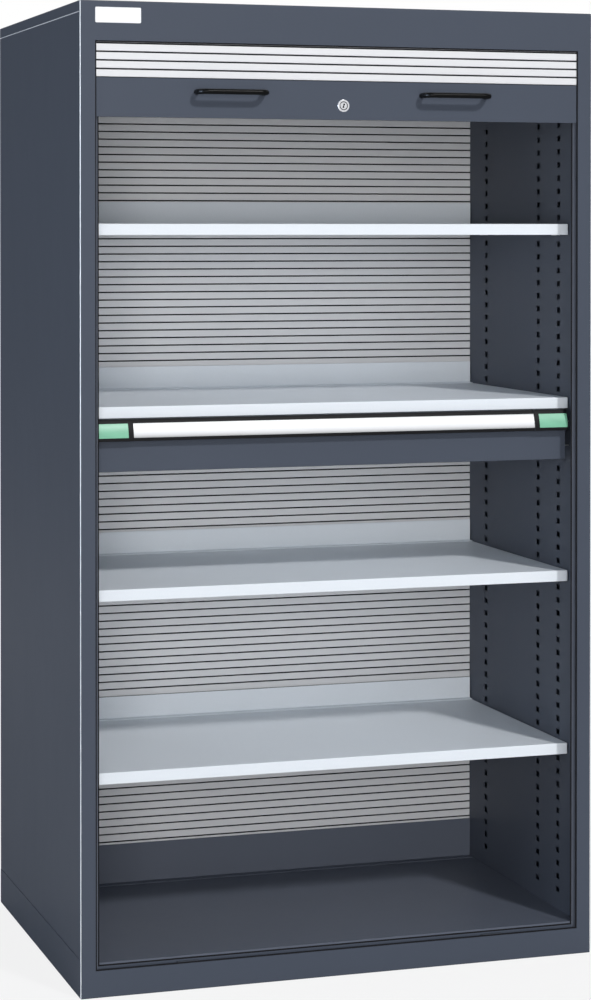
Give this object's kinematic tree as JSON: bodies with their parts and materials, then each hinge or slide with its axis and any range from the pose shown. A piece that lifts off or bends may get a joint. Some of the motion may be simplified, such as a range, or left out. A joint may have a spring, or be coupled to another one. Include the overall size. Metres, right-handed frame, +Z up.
{
  "type": "roll front tool cabinet",
  "caption": "Upright sheet steel cabinet with a slatted roll-up front that runs over the top and down the back, plain shelves and a shallow drawer with a full-width pull.",
  "frame": {"origin": "centre of the carcass footprint at floor level, which is the centre of the four floor anchor holes", "axes": "+Z up, -Y towards the user in front of the shutter, +X to the user's right when facing the cabinet"},
  "size_m": [1.005, 0.7291, 1.8],
  "materials": {
    "carcass_paint": "fine textured powder coat",
    "interior_paint": "fine textured powder coat",
    "shelf_paint": "smooth light powder coat",
    "satin_aluminium": "satin anodised",
    "zinc_steel": "bright zinc plated",
    "black_plastic": "moulded, matt",
    "handle_black": "black lacquer",
    "green_plastic": "semi-gloss, moulded in colour",
    "label_white": "plain label strip",
    "badge_white": "plain printed plate, blank",
    "rubber": "matt",
    "lock_chrome": "polished"
  },
  "bodies": {
    "cabinet": {"front_post_left": "carcass_paint", "front_post_right": "carcass_paint", "front_header": "carcass_paint", "front_sill": "carcass_paint", "side_panel_left": "carcass_paint", "side_panel_right": "carcass_paint", "back_panel": "carcass_paint", "back_panel_screws": "zinc_steel", "top_cover": "carcass_paint", "base_rail_left": "carcass_paint", "base_rail_right": "carcass_paint", "base_rail_back": "carcass_paint", "badge_plate": "badge_white", "front_tracks": "interior_paint", "rear_tracks": "interior_paint", "arch_tracks": "interior_paint", "slats_over_top": "satin_aluminium", "slats_back": "satin_aluminium", "floor_plate": "interior_paint", "rear_kick_panel": "interior_paint", "inner_wall_left": "interior_paint", "inner_wall_right": "interior_paint", "shelf_1": "shelf_paint", "shelf_2": "shelf_paint", "shelf_3": "shelf_paint", "shelf_4": "shelf_paint", "shelf_back_stop_1": "shelf_paint", "shelf_back_stop_2": "shelf_paint", "shelf_back_stop_3": "shelf_paint", "shelf_back_stop_4": "shelf_paint", "shelf_clips": "zinc_steel", "sill_buffers": "rubber", "slide_brackets": "zinc_steel", "slide_outers": "zinc_steel"},
    "shutter": {"shutter_bar": "carcass_paint", "bar_glides": "black_plastic", "bar_handle_left": "handle_black", "bar_handle_right": "handle_black", "handle_screws": "zinc_steel", "slats_front": "satin_aluminium", "lock_housing": "lock_chrome", "lock_nut": "zinc_steel"},
    "lock": {"lock_plug": "lock_chrome", "lock_cam": "zinc_steel", "lock_cam_screw": "zinc_steel"},
    "slide_middle": {"slide_middles": "zinc_steel"},
    "drawer": {"drawer_front": "carcass_paint", "drawer_tray": "shelf_paint", "tray_side_left": "shelf_paint", "tray_side_right": "shelf_paint", "drawer_grip": "black_plastic", "grip_screws": "zinc_steel", "grip_label": "label_white", "grip_caps": "black_plastic", "grip_cap_inserts": "green_plastic", "slide_inners": "zinc_steel"}
  },
  "joints": [
    {"name": "shutter_slide", "type": "slide", "parent": "cabinet", "child": "shutter", "axis": [0, 0, -1], "range_m": [0, 1.5387], "deforming": ["slats_back"]},
    {"name": "lock_turn", "type": "hinge", "parent": "shutter", "child": "lock", "pos_m": [0, -0.3446, 1.617], "axis": [0, -1, 0], "range_deg": [0, 90]},
    {"name": "drawer_slide", "type": "slide", "parent": "cabinet", "child": "drawer", "axis": [0, 1, 0], "range_m": [-0.45, 0]},
    {"name": "slide_middle_slide", "type": "slide", "parent": "cabinet", "child": "slide_middle", "axis": [0, 1, 0], "range_m": [-0.2251, 0]}
  ],
  "couplings": [
    {"joint": "slide_middle_slide", "follows": "drawer_slide", "ratio": 0.5}
  ]
}
